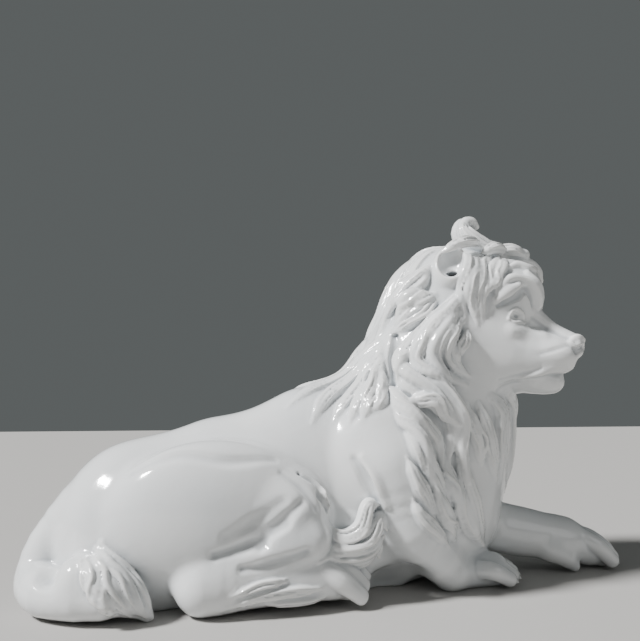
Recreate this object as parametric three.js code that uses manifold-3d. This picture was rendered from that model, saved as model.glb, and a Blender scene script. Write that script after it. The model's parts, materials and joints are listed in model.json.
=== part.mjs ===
// Recumbent lion, cast in glazed ceramic as one piece.
// Millimetres. +X is forward along the body, +Y the lion's left, +Z up, and the lion lies on z = 0.
// It is shaped as clay is: rounded masses and limbs are pressed together, creases are drawn in, and locks
// of hair are laid on. The skin of that clay is then cut off flat underneath.
import * as THREE from "three";
import { mergeVertices } from "three/addons/utils/BufferGeometryUtils.js";
import Module from "manifold-3d";

// How fine the skin is
const cell = 6; // size of the cubes that the clay is sampled on
const triangleGoal = 9700; // triangles kept when the skin is thinned
const clayBelowFloor = 20; // clay that is shaped under the floor and then cut off flat
const glaze = { color: 0xf2f3f1, roughness: 0.12, metalness: 0 };

// How softly forms run together
const bodyFillet = 45;
const limbFillet = 22;
const footFillet = 12;
const faceFillet = 12;
const toeFillet = 6;
const hairFillet = 5;
const ventFillet = 1;
const creaseFillet = 8;

// Trunk and neck
const trunk = {
  pelvis: { at: [-322, 0, 88], half: [120, 106, 140] },
  loin: { at: [-185, 0, 110], half: [165, 94, 154], turn: [0, -5, 0] },
  ribs: { at: [-34, 0, 128], half: [165, 100, 186], turn: [0, -12, 0] },
  chest: { at: [138, 0, 145], half: [118, 96, 140] },
};
const neck = {
  nape: { path: [[66, 0, 205], [112, 0, 300], [150, -6, 380], [186, -14, 458]], radii: [110, 108, 101, 94] },
  throat: {
    path: [[174, 0, 110], [182, -6, 215], [192, -14, 300], [194, -25, 380]],
    radii: [74, 92, 86, 78],
  },
};

// Hind legs, alike on both sides, folded with the sole on the ground
const hindLeg = {
  thigh: { at: [-205, 84, 122], half: [150, 60, 108], turn: [0, 5, 0] },
  knee: { at: [-112, 106, 118], half: [54, 40, 60], turn: [0, 20, 0] },
};
const hindBones = {
  shank: { path: [[-84, 116, 94], [-150, 119, 74], [-214, 112, 54]], radii: [33, 28, 27] },
  foot: { path: [[-228, 108, 36], [-150, 110, 34], [-60, 105, 38], [-20, 100, 24]], radii: [37, 29, 33, 22] },
};
const hindToes = {
  path: [[-66, 104, 44], [-22, 101, 34], [5, 99, 13]],
  radii: [14, 13, 11],
  spread: 19,
  arc: 14,
};

// Forelegs: the right one stands on its elbow and folds back, the left one is stretched out
const nearForeleg = {
  shoulder: { at: [48, -78, 205], half: [82, 50, 108], turn: [0, 12, 0] },
  arm: { path: [[50, -82, 190], [75, -86, 110], [118, -76, 58], [150, -68, 30]], radii: [58, 48, 38, 28] },
};
const nearPaw = { path: [[146, -66, 24], [186, -60, 22], [226, -54, 22]], radii: [26, 24, 26] };
const nearToes = {
  path: [[196, -60, 30], [242, -54, 30], [268, -51, 13]],
  radii: [13, 13, 11],
  spread: 17,
  arc: 14,
};
const farForeleg = {
  shoulder: { at: [60, 78, 205], half: [82, 50, 108], turn: [0, 12, 0] },
  arm: { path: [[110, 70, 110], [200, 30, 88], [300, 14, 66], [392, 8, 50]], radii: [58, 48, 42, 36] },
};
const farPaw = { path: [[376, 8, 48], [430, 6, 36], [462, 4, 24]], radii: [37, 32, 24] };
const farToes = {
  path: [[410, 8, 54], [456, 10, 38], [489, 12, 13]],
  radii: [14, 13, 11],
  spread: 17,
  arc: 16,
};
const innerToe = { path: [[352, -14, 36], [378, -19, 23], [394, -20, 10]], radii: [18, 15, 10] };
const toeCount = 4;
const toeRootShare = 0.6; // how far apart the toes start, as a share of their spread at the tips

// Tail, lying round the right haunch
const tail = {
  path: [
    [-402, 0, 122], [-438, -4, 82], [-453, -26, 42],
    [-436, -68, 33], [-396, -100, 32], [-357, -114, 31],
  ],
  radii: [44, 36, 31, 31, 29, 26],
};

// Head, in its own frame: x along the muzzle, y to the left, z up from the pivot
const headPivot = [200, -25, 430];
const headTurn = -30; // degrees, to the lion's right
const skull = {
  brain: { at: [35, 0, 18], half: [88, 70, 84] },
  forehead: { at: [86, 0, 44], half: [48, 46, 46], turn: [0, 20, 0] },
  muzzle: { at: [122, 0, -64], half: [62, 40, 38], turn: [0, 4, 0] },
};
const noseBridge = { path: [[108, 0, -4], [146, 0, -34], [176, 0, -52]], radii: [22, 17, 17] };
const noseTip = { at: [178, 0, -56], half: [14, 22, 19] };
const jaw = { path: [[30, 0, -85], [105, 0, -104], [142, 0, -111]], radii: [52, 27, 18] };
const facePair = {
  brow: { path: [[68, 58, 20], [94, 48, 40], [122, 26, 40], [132, 15, 8]], radii: [9, 15, 15, 10] },
  lip: { path: [[168, 10, -90], [138, 33, -98], [98, 44, -112]], radii: [10, 12, 10] },
};
const faceMassPair = {
  cheek: { at: [42, 42, -56], half: [58, 32, 62] },
  whiskerPad: { at: [146, 21, -70], half: [32, 22, 23], turn: [-12, 10, 0] },
  eye: { at: [88, 46, -14], half: [13, 9, 12] },
};
const faceCreasePair = {
  socket: { path: [[68, 60, -6], [92, 55, 8], [116, 37, 2], [128, 26, -20]], radii: [5, 9, 9, 5], depth: 3 },
  mouth: {
    path: [[172, 6, -100], [140, 36, -106], [100, 48, -118], [58, 56, -124]],
    radii: [4, 4, 4, 3],
    depth: 2,
  },
  nostril: { path: [[186, 9, -60], [176, 20, -58]], radii: [5, 4], depth: 1 },
};

// Ears: a cup with a drilled vent at the bottom
const ear = {
  cup: { at: [-14, 74, 66], half: [34, 26, 42], turn: [24, 0, 10] },
  bowl: { at: [-8, 94, 74], half: [24, 26, 32], turn: [24, 0, 10] },
  vent: { path: [[-8, 88, 66], [-8, 70, 60]], radii: [7, 7] },
};

// Top of the head: one lock curls up from the crown and two lie forward over the brow
const crownLocks = {
  curl: {
    path: [[70, -15, 98], [44, -15, 110], [20, -15, 128], [10, -15, 150], [18, -15, 162], [30, -15, 158]],
    radii: [15, 18, 14, 10, 8, 6],
  },
  forelock: { path: [[34, -14, 104], [70, -16, 104], [104, -18, 98]], radii: [13, 14, 11] },
  farForelock: { path: [[20, 14, 96], [60, 20, 100], [98, 22, 88]], radii: [14, 14, 8] },
};

// Creases of the body, drawn on the right side and repeated on the left
const creases = {
  thighFold: { path: [[-214, -139, 84], [-165, -143, 98], [-120, -147, 120]], radii: [4, 7, 3], depth: 1 },
  calfFold: { path: [[-158, -145, 98], [-126, -146, 126], [-98, -140, 148]], radii: [3, 6, 3], depth: 1 },
  hockFold: { path: [[-178, -142, 66], [-140, -147, 70], [-92, -146, 84]], radii: [3, 6, 4], depth: 1 },
  flankFold: { path: [[-96, -112, 182], [-70, -114, 162], [-56, -112, 138]], radii: [3, 7, 6], depth: 2 },
  maneGap: { path: [[70, -62, 388], [62, -80, 352], [52, -98, 312]], radii: [6, 11, 5], depth: 0 },
  armpitFold: { path: [[-14, -112, 198], [2, -118, 172], [14, -120, 140]], radii: [3, 7, 4], depth: 2 },
};

// Locks of hair: strands are spread evenly between the guide paths of a lock and seated on the clay
const lockRadii = [0.5, 1, 0.95, 0.3]; // share of the strand's radius from root to tip
const capLock = {
  guides: [
    [[190, -30, 552], [124, 0, 540], [86, 0, 488], [62, 0, 430], [46, 0, 386]],
    [[150, -70, 520], [112, -62, 482], [84, -52, 440], [64, -44, 404], [52, -40, 376]],
  ],
  strands: 4,
  radius: 11,
};
const collarLock = {
  guides: [
    [[138, -90, 474], [108, -78, 447], [80, -64, 413], [58, -50, 388]],
    [[128, -96, 440], [99, -86, 411], [77, -72, 389], [58, -60, 370]],
  ],
  strands: 3,
  radius: 9,
};
const witherLock = {
  guides: [
    [[56, -20, 388], [12, 0, 356], [-48, -8, 312], [-104, -30, 276]],
    [[56, -36, 384], [22, -30, 334], [-30, -51, 284], [-72, -70, 246]],
    [[56, -48, 376], [38, -60, 328], [4, -84, 290], [-24, -84, 256]],
    [[54, -60, 360], [52, -84, 322], [36, -100, 297], [12, -106, 278]],
  ],
  strands: 7,
  radius: 10,
};
const cheekLock = {
  guides: [
    [[160, -106, 452], [128, -104, 404], [114, -104, 362], [136, -110, 332], [174, -110, 322]],
    [[172, -108, 446], [154, -112, 404], [143, -111, 374], [152, -112, 350], [174, -110, 330]],
  ],
  strands: 3,
  radius: 9,
};
const sideLock = {
  guides: [
    [
      [150, -104, 436], [100, -94, 384], [72, -88, 346], [96, -104, 300],
      [122, -112, 232], [136, -106, 160], [150, -98, 90],
    ],
    [
      [140, -106, 396], [116, -106, 350], [128, -110, 316], [166, -110, 276],
      [172, -106, 215], [180, -98, 140], [194, -78, 64],
    ],
  ],
  strands: 4,
  radius: 10,
};
const shoulderLock = {
  guides: [
    [[66, -92, 330], [62, -110, 290], [72, -124, 243], [82, -132, 190], [92, -128, 142]],
    [[86, -98, 322], [94, -108, 284], [104, -116, 228], [112, -112, 168], [126, -104, 100]],
  ],
  strands: 3,
  radius: 9,
};
const chestLock = {
  guides: [
    [[186, -106, 300], [206, -98, 256], [214, -92, 208], [222, -84, 156]],
    [[236, -76, 292], [262, -56, 247], [258, -54, 199], [240, -62, 140]],
    [[250, -30, 292], [284, -16, 247], [276, -16, 199], [262, -18, 132]],
  ],
  strands: 5,
  radius: 11,
};
const templeLock = {
  guides: [
    [[232, -72, 534], [200, -94, 506], [180, -108, 461], [174, -112, 396]],
    [[254, -76, 522], [222, -106, 474], [202, -114, 424], [190, -114, 372]],
  ],
  strands: 3,
  radius: 9,
};
const bellyHair = { at: [-26, -96, 72], half: [44, 24, 46], turn: [0, -20, 0] };
const bellyLock = {
  guides: [
    [[-58, -100, 98], [-26, -110, 98], [-6, -116, 112], [2, -118, 134], [14, -118, 138]],
    [[-58, -98, 80], [-24, -108, 78], [4, -112, 78], [24, -114, 94], [26, -114, 108]],
    [[-62, -92, 58], [-30, -96, 52], [-4, -98, 46], [16, -100, 52], [20, -100, 64]],
  ],
  strands: 3,
  radius: 13,
  loose: true,
};
const tuftLock = {
  guides: [
    [[-392, -112, 36], [-374, -126, 40], [-356, -131, 30], [-340, -128, 8]],
    [[-384, -110, 62], [-360, -124, 58], [-338, -130, 36], [-318, -126, 4]],
    [[-372, -98, 92], [-350, -116, 74], [-326, -124, 40], [-292, -121, 2]],
  ],
  strands: 4,
  radius: 12,
  loose: true,
};
const pairedLocks = [
  collarLock, witherLock, cheekLock, sideLock, shoulderLock, chestLock, templeLock,
];
const singleLocks = [bellyLock, tuftLock];

// Vectors and frames
const mix = (a, b, t) => a + (b - a) * t;
const mixPoints = (p, q, t) => p.map((v, i) => mix(v, q[i], t));
const radians = THREE.MathUtils.degToRad;

function frameAt(origin, turn = [0, 0, 0]) {
  const [yaw, pitch, roll] = turn.map(radians);
  const spin = new THREE.Matrix4().makeRotationFromEuler(new THREE.Euler(roll, pitch, yaw, "ZYX"));
  const toWorld = spin.setPosition(...origin);
  return { toWorld, toLocal: toWorld.clone().invert() };
}
const bodyFrame = frameAt([0, 0, 0]);
const headFrame = frameAt(headPivot, [headTurn, 0, 0]);

function moved({ elements: e }, [x, y, z]) {
  return [
    e[0] * x + e[4] * y + e[8] * z + e[12],
    e[1] * x + e[5] * y + e[9] * z + e[13],
    e[2] * x + e[6] * y + e[10] * z + e[14],
  ];
}

// The other side of the body
const mirrored = ([x, y, z]) => [x, -y, z];
const flipped = (sizes) => ({
  ...sizes,
  at: sizes.at && mirrored(sizes.at),
  path: sizes.path?.map(mirrored),
  turn: sizes.turn && [-sizes.turn[0], sizes.turn[1], -sizes.turn[2]],
});
const bothSides = (sizes) => [sizes, flipped(sizes)];

// The other side of the mane, which twists with the head as it climbs the neck
const twistStart = 240;
function otherSide(p) {
  const share = Math.min(1, Math.max(0, (p[2] - twistStart) / (headPivot[2] - twistStart)));
  const twist = frameAt([headPivot[0], headPivot[1] * share, 0], [headTurn * share, 0, 0]);
  return moved(twist.toWorld, mirrored(moved(twist.toLocal, p)));
}

// Points along a smooth curve through a few control points
function curvePoints(controls, steps) {
  const points = controls.map((p) => new THREE.Vector3(...p));
  const curve = new THREE.CatmullRomCurve3(points, false, "centripetal");
  return curve.getPoints(steps).map((v) => v.toArray());
}
// A value that runs smoothly through the given stops as t goes from 0 to 1
function along(stops, t) {
  const last = stops.length - 1;
  const i = Math.min(Math.floor(t * last), last - 1);
  const u = t * last - i;
  return mix(stops[i], stops[i + 1], u * u * (3 - 2 * u));
}

// Forms of clay. Each gives the distance from a point to its skin, negative inside.

// A rounded mass with three half sizes, turned by yaw, pitch and roll
function mass({ at, half: [a, b, c], turn }, fillet, frame = bodyFrame) {
  const toLocal = frameAt(at, turn).toLocal.clone().multiply(frame.toLocal);
  return {
    centre: moved(frame.toWorld, at),
    reach: Math.max(a, b, c),
    fillet,
    distance(p) {
      const [x, y, z] = moved(toLocal, p);
      const near = Math.hypot(x / a, y / b, z / c);
      const slope = Math.hypot(x / (a * a), y / (b * b), z / (c * c));
      return slope > 0 ? (near * (near - 1)) / slope : -Math.min(a, b, c);
    },
  };
}

// A round limb along a curve, with its radius given at stops along the way
const limbSteps = 12;
function limb({ path, radii }, fillet, frame = bodyFrame) {
  const points = curvePoints(path, limbSteps).map((p) => moved(frame.toWorld, p));
  const sizes = points.map((_, i) => along(radii, i / limbSteps));
  const box = new THREE.Box3().setFromPoints(points.map((p) => new THREE.Vector3(...p)));
  const centre = box.getCenter(new THREE.Vector3()).toArray();
  return {
    centre,
    reach: Math.max(...points.map((p, i) => Math.hypot(...p.map((v, k) => v - centre[k])) + sizes[i])),
    fillet,
    distance([x, y, z]) {
      let least = Infinity;
      for (let i = 0; i < limbSteps; i++) {
        const [ax, ay, az] = points[i];
        const bx = points[i + 1][0] - ax;
        const by = points[i + 1][1] - ay;
        const bz = points[i + 1][2] - az;
        const px = x - ax;
        const py = y - ay;
        const pz = z - az;
        const whole = bx * bx + by * by + bz * bz;
        const t = Math.min(1, Math.max(0, (px * bx + py * by + pz * bz) / whole));
        const away = Math.hypot(px - bx * t, py - by * t, pz - bz * t) - mix(sizes[i], sizes[i + 1], t);
        least = Math.min(least, away);
      }
      return least;
    },
  };
}
// The same form taken away from the clay
const carved = (form) => ({ ...form, carve: true });

const joinClay = (a, b, k) => Math.min(a, b) - Math.max(k - Math.abs(a - b), 0) ** 2 / (4 * k);
const addForm = (d, form, p) =>
  form.carve ? -joinClay(-d, form.distance(p), form.fillet) : joinClay(d, form.distance(p), form.fillet);
const farAway = 1e3;
const clayAt = (forms, p) => forms.reduce((d, form) => addForm(d, form, p), farAway);

// The nearest point on the clay's skin, lifted off it by the given height
const seatSteps = 5;
const probe = 1;
const leastSlope = 0.2;
function seated(forms, point, lift) {
  let p = point;
  for (let step = 0; step < seatSteps; step++) {
    const d = clayAt(forms, p);
    const slope = p.map((_, axis) => {
      const ahead = p.map((v, i) => (i === axis ? v + probe : v));
      return (clayAt(forms, ahead) - d) / probe;
    });
    const steep = Math.max(Math.hypot(...slope), leastSlope);
    p = p.map((v, i) => v - ((d - lift) * slope[i]) / (steep * steep));
  }
  return p;
}

// Toes side by side at the end of a paw
function toes({ path, radii, spread, arc }, side = 1) {
  return Array.from({ length: toeCount }, (_, toe) => {
    const place = (2 * toe) / (toeCount - 1) - 1;
    const apart = (place * spread * (toeCount - 1)) / 2;
    const back = arc * place * place;
    const fanned = path.map(([x, y, z], i) =>
      i ? [x - back, side * (y + apart), z] : [x, side * (y + apart * toeRootShare), z],
    );
    return limb({ path: fanned, radii }, toeFillet);
  });
}

// Strands of a lock, spread over its guide paths
const lockLift = 0.4; // share of a strand's radius that its centre stands off the clay
function strandsOf({ guides, strands, radius, loose }, forms, place = (p) => p) {
  return Array.from({ length: strands }, (_, strand) => {
    const across = (strand / (strands - 1)) * (guides.length - 1);
    const guide = Math.min(Math.floor(across), guides.length - 2);
    const path = guides[guide].map((p, i) => place(mixPoints(p, guides[guide + 1][i], across - guide)));
    const laid = loose ? path : path.map((p) => seated(forms, p, radius * lockLift));
    return limb({ path: laid, radii: lockRadii.map((share) => share * radius) }, hairFillet);
  });
}

// Creases are drawn into the skin
const creaseOf = (sizes, forms, frame = bodyFrame) => {
  const settle = (p) => seated(forms, moved(frame.toWorld, p), sizes.depth);
  const laid = sizes.path.map((p) => moved(frame.toLocal, settle(p)));
  return carved(limb({ path: laid, radii: sizes.radii }, creaseFillet, frame));
};

function bodyForms() {
  const forms = [
    ...Object.values(trunk).map((part) => mass(part, bodyFillet)),
    ...Object.values(neck).map((part) => limb(part, bodyFillet)),
    mass(nearForeleg.shoulder, limbFillet),
    limb(nearForeleg.arm, limbFillet),
    mass(farForeleg.shoulder, limbFillet),
    limb(farForeleg.arm, limbFillet),
    limb(nearPaw, footFillet),
    limb(farPaw, footFillet),
    limb(innerToe, toeFillet),
    limb(tail, footFillet),
    mass(bellyHair, footFillet),
    ...toes(nearToes),
    ...toes(farToes),
  ];
  for (const side of [-1, 1]) {
    const place = (sizes) => (side > 0 ? sizes : flipped(sizes));
    forms.push(
      ...Object.values(hindLeg).map((part) => mass(place(part), limbFillet)),
      ...Object.values(hindBones).map((part) => limb(place(part), footFillet)),
      ...toes(hindToes, side),
    );
  }
  return forms;
}

function headForms() {
  const pairs = (group) => Object.values(group).flatMap(bothSides);
  return [
    ...Object.values(skull).map((part) => mass(part, limbFillet, headFrame)),
    limb(noseBridge, faceFillet, headFrame),
    limb(jaw, faceFillet, headFrame),
    mass(noseTip, toeFillet, headFrame),
    ...pairs(faceMassPair).map((part) => mass(part, faceFillet, headFrame)),
    ...pairs(facePair).map((part) => limb(part, faceFillet, headFrame)),
  ];
}

function lionForms() {
  const bare = [...bodyForms(), ...headForms()];
  const creased = Object.values(creases).flatMap(bothSides).map((sizes) => creaseOf(sizes, bare));
  const facePaths = Object.values(faceCreasePair).flatMap(bothSides);
  const faceCreases = facePaths.map((sizes) => creaseOf(sizes, bare, headFrame));
  const hair = [
    ...strandsOf(capLock, bare),
    ...strandsOf(capLock, bare, otherSide),
    ...pairedLocks.flatMap((lock) => [...strandsOf(lock, bare), ...strandsOf(lock, bare, otherSide)]),
    ...singleLocks.flatMap((lock) => strandsOf(lock, bare)),
    ...Object.values(crownLocks).map((lock) => limb(lock, hairFillet, headFrame)),
  ];
  const ears = [
    ...bothSides(ear.cup).map((part) => mass(part, hairFillet, headFrame)),
    ...bothSides(ear.bowl).map((part) => carved(mass(part, hairFillet, headFrame))),
    ...bothSides(ear.vent).map((part) => carved(limb(part, ventFillet, headFrame))),
  ];
  return [...bare, ...creased, ...faceCreases, ...hair, ...ears];
}

// The clay sampled on a grid of cubes
const gridLow = [-520, -190, -clayBelowFloor - cell];
const gridSpan = [1060, 380, 680];
const gridSize = gridSpan.map((v) => Math.ceil(v / cell) + 1);
const strides = [1, gridSize[0], gridSize[0] * gridSize[1]];
const indexOf = (i, j, k) => i + j * strides[1] + k * strides[2];
const placeOf = (i, j, k) => [gridLow[0] + i * cell, gridLow[1] + j * cell, gridLow[2] + k * cell];

function sampled(forms) {
  const field = new Float32Array(gridSize[2] * strides[2]).fill(farAway);
  for (const form of forms) {
    const span = form.reach + form.fillet + cell;
    const from = form.centre.map((c, a) => Math.max(0, Math.floor((c - span - gridLow[a]) / cell)));
    const last = form.centre.map((c, a) => Math.ceil((c + span - gridLow[a]) / cell));
    const to = last.map((v, a) => Math.min(gridSize[a] - 1, v));
    for (let k = from[2]; k <= to[2]; k++)
      for (let j = from[1]; j <= to[1]; j++)
        for (let i = from[0]; i <= to[0]; i++) {
          const n = indexOf(i, j, k);
          field[n] = addForm(field[n], form, placeOf(i, j, k));
        }
  }
  const skinGap = cell * 0.01; // keeps the skin off the corners of the grid
  for (let n = 0; n < field.length; n++) {
    const z = gridLow[2] + Math.floor(n / strides[2]) * cell;
    const d = Math.max(field[n], -clayBelowFloor - z);
    field[n] = Math.abs(d) < skinGap ? (d < 0 ? -skinGap : skinGap) : d;
  }
  return field;
}

// One body only: pockets shut inside the clay are filled, and crumbs apart from it are dropped
function oneBody(field) {
  const reached = (start, wanted) => {
    const seen = new Uint8Array(field.length);
    const queue = [start];
    seen[start] = 1;
    while (queue.length) {
      const n = queue.pop();
      for (const stride of strides)
        for (const next of [n - stride, n + stride])
          if (next >= 0 && next < field.length && !seen[next] && wanted(field[next])) {
            seen[next] = 1;
            queue.push(next);
          }
    }
    return seen;
  };
  const middle = trunk.loin.at.map((v, a) => Math.round((v - gridLow[a]) / cell));
  const air = reached(0, (d) => d > 0);
  const clay = reached(indexOf(...middle), (d) => d < 0);
  return field.map((d, n) => {
    if (d > 0 && !air[n]) return -cell / 2;
    return d < 0 && !clay[n] ? cell / 2 : d;
  });
}

// Skin of the clay: each cube is cut into tetrahedra, which always close up
function skinOf(field) {
  const corner = (c) => [c & 1, (c >> 1) & 1, c >> 2];
  const tetrahedra = [[1, 3], [3, 2], [2, 6], [6, 4], [4, 5], [5, 1]].map(([a, b]) => [0, a, b, 7]);
  const points = [];
  const triangles = [];
  const known = new Map();
  const crossing = (a, b) => {
    const key = Math.min(a.n, b.n) * field.length + Math.max(a.n, b.n);
    if (!known.has(key)) known.set(key, points.push(mixPoints(a.p, b.p, a.d / (a.d - b.d))) - 1);
    return known.get(key);
  };
  const facing = (ring, inner, outer) => {
    const [p, q, r] = ring.slice(0, 3).map((v) => new THREE.Vector3(...points[v]));
    const normal = q.sub(p).cross(r.sub(p));
    return normal.dot(new THREE.Vector3(...outer.p.map((v, i) => v - inner.p[i])));
  };
  for (let k = 0; k < gridSize[2] - 1; k++)
    for (let j = 0; j < gridSize[1] - 1; j++)
      for (let i = 0; i < gridSize[0] - 1; i++) {
        const corners = Array.from({ length: 8 }, (_, c) => {
          const [di, dj, dk] = corner(c);
          const n = indexOf(i + di, j + dj, k + dk);
          return { n, d: field[n], p: placeOf(i + di, j + dj, k + dk) };
        });
        if (corners.every((c) => c.d > 0) || corners.every((c) => c.d < 0)) continue;
        for (const four of tetrahedra) {
          const inner = four.map((c) => corners[c]).filter((c) => c.d < 0);
          const outer = four.map((c) => corners[c]).filter((c) => c.d > 0);
          if (!inner.length || !outer.length) continue;
          const ring = inner.length === 2
            ? [[0, 0], [0, 1], [1, 1], [1, 0]].map(([a, b]) => crossing(inner[a], outer[b]))
            : inner.flatMap((a) => outer.map((b) => crossing(a, b)));
          if (facing(ring, inner[0], outer[0]) < 0) ring.reverse();
          triangles.push(ring.slice(0, 3));
          if (ring.length === 4) triangles.push([ring[0], ring[2], ring[3]]);
        }
      }
  return { points, triangles };
}

// Thinning: edges whose loss changes the form least are drawn together first
function thinned({ points, triangles }, goal) {
  const at = points.map((p) => new THREE.Vector3(...p));
  const faces = triangles.map((t) => [...t]);
  const around = at.map(() => new Set());
  faces.forEach((face, f) => face.forEach((v) => around[v].add(f)));
  const normalOf = ([a, b, c]) => at[b].clone().sub(at[a]).cross(at[c].clone().sub(at[a]));

  // Each point keeps the planes it has to stay near: six sums of normals, three of offsets and one constant
  const sums = at.map(() => new Float64Array(10));
  for (const face of faces) {
    const n = normalOf(face);
    const area = n.length() || 1;
    n.divideScalar(area);
    const off = -n.dot(at[face[0]]);
    const plane = [
      n.x * n.x, n.x * n.y, n.x * n.z, n.y * n.y, n.y * n.z, n.z * n.z,
      n.x * off, n.y * off, n.z * off, off * off,
    ];
    for (const v of face) plane.forEach((value, i) => (sums[v][i] += value * area));
  }
  const strayOf = (q, { x, y, z }) =>
    q[0] * x * x + q[3] * y * y + q[5] * z * z + 2 * (q[1] * x * y + q[2] * x * z + q[4] * y * z) +
    2 * (q[6] * x + q[7] * y + q[8] * z) + q[9];
  const holdShare = 2e-3; // pull towards the middle of the edge, so that flat places stay even
  const meetingPoint = (a, b) => {
    const q = sums[a].map((value, i) => value + sums[b][i]);
    const hold = (q[0] + q[3] + q[5]) * holdShare;
    const middle = at[a].clone().add(at[b]).multiplyScalar(0.5);
    const m = new THREE.Matrix3();
    m.set(q[0] + hold, q[1], q[2], q[1], q[3] + hold, q[4], q[2], q[4], q[5] + hold);
    const pull = middle.multiplyScalar(hold).sub(new THREE.Vector3(q[6], q[7], q[8]));
    const best = pull.applyMatrix3(m.invert());
    return { best, stray: Math.max(0, strayOf(q, best)) };
  };

  // A heap with the cheapest edge on top; entries whose points have moved since are passed over
  const heap = [];
  const age = new Uint32Array(at.length);
  const push = (entry) => {
    let i = heap.push(entry) - 1;
    while (i > 0 && heap[(i - 1) >> 1].stray > entry.stray) {
      heap[i] = heap[(i - 1) >> 1];
      i = (i - 1) >> 1;
    }
    heap[i] = entry;
  };
  const pop = () => {
    const top = heap[0];
    const last = heap.pop();
    let i = 0;
    while (heap.length) {
      let child = 2 * i + 1;
      if (child + 1 < heap.length && heap[child + 1].stray < heap[child].stray) child += 1;
      if (child >= heap.length || heap[child].stray >= last.stray) break;
      heap[i] = heap[child];
      i = child;
    }
    if (heap.length) heap[i] = last;
    return top;
  };
  const offer = (a, b) => push({ a, b, ...meetingPoint(a, b), ages: age[a] + age[b] });
  const neighbours = (v) => new Set([...around[v]].flatMap((f) => faces[f]).filter((w) => w !== v));
  at.forEach((_, v) => neighbours(v).forEach((w) => v < w && offer(v, w)));

  const leastTurn = 0.25; // cosine of the most that a triangle may tip as its edge is drawn together
  const tips = (v, other, best) =>
    [...around[v]].some((f) => {
      if (faces[f].includes(other)) return false;
      const before = normalOf(faces[f]);
      const kept = at[v];
      at[v] = best;
      const after = normalOf(faces[f]);
      at[v] = kept;
      return after.dot(before) < leastTurn * after.length() * before.length();
    });
  let left = faces.length;
  while (left > goal && heap.length) {
    const { a, b, best, ages } = pop();
    if (!around[a].size || !around[b].size || ages !== age[a] + age[b]) continue;
    const near = neighbours(a);
    if ([...neighbours(b)].filter((w) => near.has(w)).length !== 2) continue;
    if (tips(a, b, best) || tips(b, a, best)) continue;
    at[a] = best;
    sums[a] = sums[a].map((value, i) => value + sums[b][i]);
    for (const f of around[b]) {
      if (faces[f].includes(a)) {
        faces[f].forEach((v) => v !== b && around[v].delete(f));
        faces[f] = null;
        left -= 1;
      } else {
        faces[f] = faces[f].map((v) => (v === b ? a : v));
        around[a].add(f);
      }
    }
    around[b].clear();
    age[a] += 1;
    neighbours(a).forEach((w) => offer(a, w));
  }
  const kept = new Map();
  const keep = (v) => kept.get(v) ?? kept.set(v, kept.size).get(v);
  const triVerts = faces.filter(Boolean).flatMap((face) => face.map(keep));
  return { triVerts, vertProperties: [...kept.keys()].flatMap((v) => at[v].toArray()) };
}

// The floor cuts the clay off flat
const wasm = await Module();
wasm.setup();
const solidOf = ({ vertProperties, triVerts }) =>
  new wasm.Manifold(new wasm.Mesh({
    numProp: 3,
    vertProperties: Float32Array.from(vertProperties),
    triVerts: Uint32Array.from(triVerts),
  }));

const floorSizes = { length: 2000, width: 1000, deep: 200 };
function floorBlock() {
  const { length, width, deep } = floorSizes;
  const box = new THREE.BoxGeometry(length, width, deep).translate(0, 0, -deep / 2);
  box.deleteAttribute("normal");
  box.deleteAttribute("uv");
  const merged = mergeVertices(box);
  return solidOf({ vertProperties: merged.attributes.position.array, triVerts: merged.index.array });
}

function lionGeometry() {
  const skin = thinned(skinOf(oneBody(sampled(lionForms()))), triangleGoal);
  const { vertProperties, triVerts } = solidOf(skin).subtract(floorBlock()).getMesh();
  const geometry = new THREE.BufferGeometry();
  geometry.setAttribute("position", new THREE.BufferAttribute(vertProperties, 3));
  geometry.setIndex(new THREE.BufferAttribute(triVerts, 1));
  return geometry;
}

// The statue's origin is under its middle, on the floor
const lion = new THREE.Mesh(lionGeometry(), new THREE.MeshStandardMaterial(glaze));
lion.name = "lion";
lion.geometry.computeBoundingBox();
const middle = lion.geometry.boundingBox.getCenter(new THREE.Vector3());
lion.position.set(-middle.x, -middle.y, 0);
const statue = new THREE.Group();
statue.add(lion);
export default statue;
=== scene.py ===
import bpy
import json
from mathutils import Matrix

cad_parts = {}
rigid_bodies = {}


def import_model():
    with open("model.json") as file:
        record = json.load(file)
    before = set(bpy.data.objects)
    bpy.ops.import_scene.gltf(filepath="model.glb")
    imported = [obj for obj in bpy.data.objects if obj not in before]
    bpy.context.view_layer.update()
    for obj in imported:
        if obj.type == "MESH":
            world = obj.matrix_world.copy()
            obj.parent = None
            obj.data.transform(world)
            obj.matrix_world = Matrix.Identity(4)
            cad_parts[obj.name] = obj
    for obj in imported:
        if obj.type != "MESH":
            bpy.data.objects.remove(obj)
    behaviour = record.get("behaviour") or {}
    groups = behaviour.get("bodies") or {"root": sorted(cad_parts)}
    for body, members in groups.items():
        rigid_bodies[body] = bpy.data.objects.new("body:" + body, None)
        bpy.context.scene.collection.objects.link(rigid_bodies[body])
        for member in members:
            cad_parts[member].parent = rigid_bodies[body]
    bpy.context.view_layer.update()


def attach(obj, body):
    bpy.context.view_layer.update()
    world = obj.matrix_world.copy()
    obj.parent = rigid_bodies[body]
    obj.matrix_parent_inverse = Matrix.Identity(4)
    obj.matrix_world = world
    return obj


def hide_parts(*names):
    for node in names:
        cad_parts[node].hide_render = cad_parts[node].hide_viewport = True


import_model()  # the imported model, in metres

import json
import math
import bpy
import numpy as np
import openvdb
from mathutils import Matrix, Vector

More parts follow.
